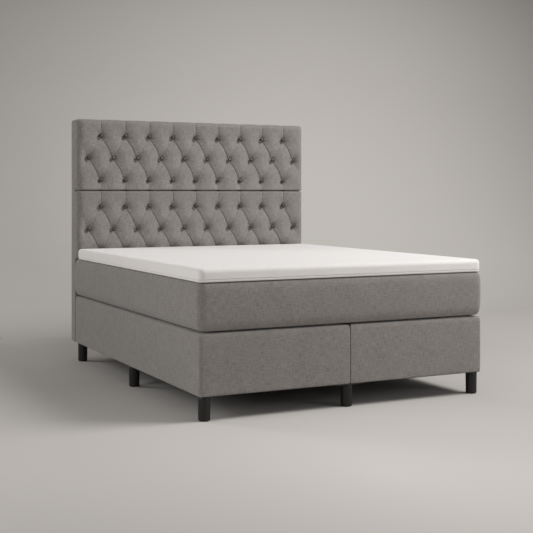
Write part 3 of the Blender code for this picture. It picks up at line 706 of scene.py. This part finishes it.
class Tufting:
    """The form of one tufted cushion, seen from the front, in x and height from its middle."""

    def __init__(self, name, height):
        low_margin, high_margin = cushion_margins[name]
        self.rolls = cushion_rolls[name]
        self.corners = cushion_corners[name]
        self.half_x = headboard_width / 2
        self.half_y = height / 2
        self.row = (height - low_margin - high_margin) / 2
        self.middle = self.half_y - high_margin - self.row
        self.seed = height * seed_per_metre
        self.buttons = []
        for level in (-1, 0, 1):
            count = tufts_across - abs(level)
            for i in range(count):
                self.buttons.append(((i - (count - 1) / 2) * tuft_pitch,
                                     self.middle + level * self.row))

    def flat_mesh(self, bm):
        """The cushion's face as cells between the pleats, before it is padded."""
        shares = clustered(cell_steps)
        found = {}

        def vert(x, y):
            key = (round(x * places_per_metre), round(y * places_per_metre))
            if key not in found:
                found[key] = bm.verts.new((x, y, 0))
            return found[key]

        def cell(base, left, right, half):
            grid = {}
            for i, a in enumerate(shares):
                for j, b in enumerate(shares):
                    if half and i + j > cell_steps:
                        continue
                    grid[i, j] = vert(base[0] + a * left[0] + b * right[0],
                                      base[1] + a * left[1] + b * right[1])
            for i in range(cell_steps):
                for j in range(cell_steps):
                    corners = [grid.get(key) for key in ((i, j), (i, j + 1), (i + 1, j + 1), (i + 1, j))]
                    corners = [corner for corner in corners if corner]
                    if len(corners) > 2:
                        bm.faces.new(corners)

        rise = self.row
        wing = tufts_across // 2
        for k in range(-wing, wing + 1):
            cell((k * tuft_pitch, self.middle - rise), (-tuft_pitch / 2, rise), (tuft_pitch / 2, rise),
                 False)
        for k in range(-wing - 1, wing + 1):
            centre = (k + 0.5) * tuft_pitch
            cell((centre, self.middle), (-tuft_pitch / 2, rise), (tuft_pitch / 2, rise), True)
            cell((centre, self.middle), (tuft_pitch / 2, -rise), (-tuft_pitch / 2, -rise), True)
            for edge, sign in ((self.half_y, 1), (-self.half_y, -1)):
                start = self.middle + sign * rise
                count = max(2, round(abs(edge - start) / margin_spacing))
                levels = [start + (edge - start) * i / count for i in range(count + 1)]
                for y0, y1 in zip(levels, levels[1:]):
                    for a0, a1 in zip(shares, shares[1:]):
                        corners = [vert((k + a0) * tuft_pitch, y0), vert((k + a1) * tuft_pitch, y0),
                                   vert((k + a1) * tuft_pitch, y1), vert((k + a0) * tuft_pitch, y1)]
                        bm.faces.new(corners)
        for half, normal in ((self.half_x, (1, 0, 0)), (self.half_x, (-1, 0, 0)),
                             (self.half_y, (0, 1, 0)), (self.half_y, (0, -1, 0))):
            for inset in edge_cuts:
                point = tuple(component * (half - inset) for component in normal)
                bmesh.ops.bisect_plane(bm, geom=bm.verts[:] + bm.edges[:] + bm.faces[:], dist=1e-6,
                                       plane_co=point, plane_no=normal, clear_outer=inset == 0.0)

    def rounded(self, x, y):
        """A point of the flat face, with the square corners drawn in to round ones."""
        radius = self.corners[y > 0]
        inner_x = self.half_x - radius
        inner_y = self.half_y - radius
        dx = abs(x) - inner_x
        dy = abs(y) - inner_y
        if dx <= 0 or dy <= 0:
            return x, y
        scale = max(dx, dy) / math.hypot(dx, dy)
        return math.copysign(inner_x + dx * scale, x), math.copysign(inner_y + dy * scale, y)

    def padded(self, x, y):
        """The pleats' bow and the padding's height at a point of the flat face."""
        near, angle = min((math.hypot(x - bx, y - by), math.atan2(y - by, x - bx))
                          for bx, by in self.buttons)
        reach = dimple_reach * (1 - dimple_lean * math.cos(angle - dimple_turn))
        dimple = 1 - math.exp(-(near / reach) ** dimple_power)
        height = tuft_depth * dimple
        bow = 0.0
        margin = max(0.0, abs(x) - (tufts_across - 1) / 2 * tuft_pitch)
        fade = math.exp(-margin / pleat_fade)
        rise = y - self.middle
        if abs(rise) <= self.row:
            across = x / tuft_pitch + rise / (2 * self.row) + 0.5
            along = x / tuft_pitch - rise / (2 * self.row) + 0.5
            width = 2 * (tuft_pitch / 2) * self.row / math.hypot(tuft_pitch / 2, self.row)
            falling = (across - round(across)) * width
            rising = (along - round(along)) * width
            drawn = min(1.0, near / pleat_start) * fade
            height -= crease(falling, depth=0.0068, steep=0.0038, gentle=0.0060) * drawn
            climb = across - math.floor(across)
            height -= crease(rising, depth=0.0030 + 0.0034 * math.exp(-climb / 0.25), steep=0.0034,
                             gentle=0.0052) * drawn
            height -= falling_valley * hump(falling, valley_reach)
            height -= rising_valley * hump(rising, valley_reach)
            share = along - math.floor(along)
            bow = pleat_bow * math.sin(math.pi * share) * (1 + bow_skew * math.cos(math.pi * share))
        else:
            drawn = min(1.0, 0.25 + near / 0.09) * fade
            height -= crease(off_column(x), depth=0.0052 * drawn, steep=0.0042, gentle=0.0075)
            height -= straight_valley * hump(off_column(x), valley_reach)
        column = Vector((round(x / tuft_pitch * 2), round(y / row_cell), self.seed))
        for i, turn in enumerate(fan_turns):
            sway = fan_sway * noise.noise(column + Vector((0.3, 0.6, i * 1.7)))
            way = angle - fan_angle - turn - sway
            if math.cos(way) > 0:
                height -= (fan_depth * math.exp(-near / fan_length)
                           * hump(near * math.sin(way), fan_width) * min(1.0, near / fan_start))
        fold = math.cos(pucker_count * angle + pucker_shift * noise.noise(column))
        height += pucker_height * fold * hump(near - pucker_ring, pucker_width)
        for size, scale, shift in undulations:
            height += size * noise.noise(Vector((x * scale, y * scale, self.seed + shift))) * dimple
        inset = min(self.half_x - abs(x), self.half_y - abs(y))
        return bow * min(1.0, max(0.0, (inset - bow_start) / bow_reach)), height

    def surface(self, x, y):
        """The cloth over a point of the flat face, rolled down to the side at every edge."""
        bow, height = self.padded(x, y)
        full = cushion_depth - tuft_depth + height
        shares = ((self.half_x - abs(x)) / side_roll, (self.half_y - abs(y)) / self.rolls[y > 0])
        roll = 1.0
        for share in shares:
            roll *= math.sqrt(max(0.0, 1 - (1 - min(1.0, share)) ** 2))
        lean = math.hypot(tuft_pitch / 2, self.row)
        drawn = edge_pull * max(0.0, 1 - shares[1]) * hump(off_column(x), edge_pull_width)
        return Vector((x + bow * self.row / lean,
                       y + bow * tuft_pitch / 2 / lean - math.copysign(drawn, y),
                       side_depth + (full - side_depth) * roll))


button_cloth = woven("button_cloth", (0.026, 0.024, 0.022), (0.062, 0.058, 0.054), pitch=0.0011,
                     relief=0.0001, sheen=0.0, streak=0.6, rough=0.13)
button_cloth.set(Specular_IOR_Level=0.45)

button_profile = ((0.0080, -0.0010), (0.0110, 0.0035), (0.0124, 0.0080), (0.0130, 0.0115),
                  (0.0129, 0.0142), (0.0118, 0.0167), (0.0096, 0.0187), (0.0065, 0.0200),
                  (0.0028, 0.0207))
button_seat = cushion_depth - tuft_depth + 0.0012
button_tilt = 0.10
side_rings = ((0.66, 1, 1), (0.5, 1, 1), (0.3, 1, 1), (0.2, 0.998, 0.993))
for name in ("lower", "upper"):
    low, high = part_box(f"{name}_cushion_cover")
    middle_z = (low.z + high.z) / 2
    tufting = Tufting(name, high.z - low.z)
    bm = bmesh.new()
    tufting.flat_mesh(bm)
    for vert in bm.verts:
        vert.co = tufting.surface(*tufting.rounded(vert.co.x, vert.co.y))
    rim = [tuple(edge.verts) for edge in bm.edges if edge.is_boundary]
    for kept_height, kept_x, kept_y in side_rings:
        lowered = {}
        for vert in (vert for pair in rim for vert in pair):
            if vert not in lowered:
                x, y, z = vert.co
                lowered[vert] = bm.verts.new((x * kept_x, y * kept_y, z * kept_height))
        for first, second in rim:
            bm.faces.new((first, second, lowered[second], lowered[first]))
        rim = [(lowered[first], lowered[second]) for first, second in rim]
    stood_up(bm.verts, high.y, middle_z)
    cushion = new_piece(f"{name}_tufted_cushion", bm, grey_cloth, "bed")
    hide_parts(f"{name}_cushion_cover")

    bm = bmesh.new()
    for i, centre in enumerate(tufting.buttons):
        tilt = (button_tilt * noise.noise(Vector((i * 3.1, 0.5, tufting.seed))),
                button_tilt * noise.noise(Vector((0.5, i * 3.1, tufting.seed))))
        turned(bm, [(radius, button_seat + z) for radius, z in button_profile], centre, 24, tilt)
    stood_up(bm.verts, high.y, middle_z)
    buttons = new_piece(f"{name}_tuft_buttons", bm, button_cloth, "bed")

# Studio. A pale paper floor with a backdrop that curves up from it behind the bed, soft light
# from the upper right and front, and the camera level at about eye height, shifted down. The
# paper's colour has light and shade painted into it: a painted pool of light on the floor in front
# of the bed, painted shade towards the backdrop's corners, and painted light beside the headboard
# where the bed's shadow falls.

paper = Finish("studio_paper_painted_light", Specular_IOR_Level=0.1, Roughness=0.95)


def reach(centre, scale):
    """How far a point of the paper lies from a centre, in scaled axes."""
    offset = paper.node("VectorMath", {"operation": "SUBTRACT"}, {0: paper.place(), 1: centre})
    return paper.node("VectorMath", {"operation": "LENGTH"}, {0: paper.scaled(offset, scale)}, 1)


fade_start = 0.6
fade_rate = 0.385
# The floor's colour is a painted pool of light: brightest in front of the bed, near (-0.5, -2.15), and
# darker away from it.
floor_painted_light_pool = paper.mix(paper.clamped(reach((-0.50, -2.15, 0), (0.72, 0.42, 0))),
                       (0.598, 0.568, 0.538, 1), (0.436, 0.414, 0.391, 1))
# The backdrop's colour has painted shade: it darkens towards its corners, away from (3.4, 0, 1.2).
wall_painted_shade = paper.mix(paper.clamped(reach((3.4, 0, 1.2), (0.168, 0, 0.344)) ** 2),
                      (0.645, 0.618, 0.585, 1), (0.290, 0.278, 0.263, 1))
depth_share = paper.clamped((paper.split(paper.place())[1] - fade_start) * fade_rate)
# Painted light: a lighter patch of paper beside the headboard, behind the bed's left, lightens the bed's
# shadow there.
painted_light_beside_head = paper.clamped(1 - reach((-0.9, 1.9, -0.1), (0.9, 0.55, 0.9)))
paper.set(Base_Color=paper.mix(painted_light_beside_head, paper.mix(depth_share, floor_painted_light_pool, wall_painted_shade),
                               (0.566, 0.540, 0.512, 1)))


def paper_sheet(name, section, left, right):
    """A sheet of the paper swept from left to right along (y, height) points."""
    bm = bmesh.new()
    rows = [[bm.verts.new((x, y, z)) for x in (left, right)] for y, z in section]
    for near_row, far_row in zip(rows, rows[1:]):
        bm.faces.new((near_row[0], near_row[1], far_row[1], far_row[0]))
    mesh = bpy.data.meshes.new(name)
    bm.to_mesh(mesh)
    bm.free()
    mesh.shade_smooth()
    mesh.materials.append(paper.material)
    made = bpy.data.objects.new(name, mesh)
    bpy.context.scene.collection.objects.link(made)


floor_z = -0.0003
floor_reach = 9.0
backdrop_drop = 0.001
bend = 2.2
wall_y = 4.2
wall_height = 7.0
section = [(wall_y - bend + bend * math.sin(turn),
            floor_z - backdrop_drop + bend - bend * math.cos(turn)) for turn in quarter_turns(24)]
section.append((wall_y, wall_height))
paper_sheet("studio_floor", [(-floor_reach, floor_z), (floor_reach, floor_z)], -floor_reach,
            floor_reach)
paper_sheet("studio_backdrop", section, left=-1.0, right=8.5)

world = bpy.data.worlds.new("studio")
bpy.context.scene.world = world
world.use_nodes = True
sky = world.node_tree.nodes["Background"]
sky.inputs["Color"].default_value = (1.0, 0.985, 0.965, 1)
sky.inputs["Strength"].default_value = 0.27


def soft_light(name, place, aim, size, power):
    """A rectangular lamp at a place, turned towards its aim."""
    lamp = bpy.data.lights.new(name, "AREA")
    lamp.shape = "RECTANGLE"
    lamp.size, lamp.size_y = size
    lamp.energy = power
    made = bpy.data.objects.new(name, lamp)
    made.location = place
    made.rotation_euler = (Vector(aim) - Vector(place)).to_track_quat("-Z", "Y").to_euler()
    bpy.context.scene.collection.objects.link(made)


soft_light("key_light", (3.5, -2.3, 4.9), aim=(0.1, 0.0, 0.4), size=(2.6, 2.6), power=330)
soft_light("front_light", (2.0, -3.8, 1.2), aim=(0.6, -1.0, 0.4), size=(1.4, 1.0), power=17.5)
soft_light("fill_light", (-3.4, -1.1, 1.2), aim=(-1.2, -2.0, 0.4), size=(1.6, 1.0), power=26)
soft_light("rim_light", (-4.2, 3.4, 2.6), aim=(-0.8, 1.0, 0.9), size=(1.6, 2.0), power=75)

lens = bpy.data.cameras.new("camera")
lens.sensor_width = 36.0
lens.lens = 70.41
lens.shift_x = 0.01276
lens.shift_y = -0.13556
camera = bpy.data.objects.new("camera", lens)
camera.location = (-2.6556, -5.4164, 1.0416)
camera.rotation_euler = (math.pi / 2, 0, math.radians(-26.277))
bpy.context.scene.collection.objects.link(camera)
bpy.context.scene.camera = camera
bpy.context.scene.view_settings.view_transform = "Standard"


def corners(box):
    return [[float(value) for value in corner] for corner in box]
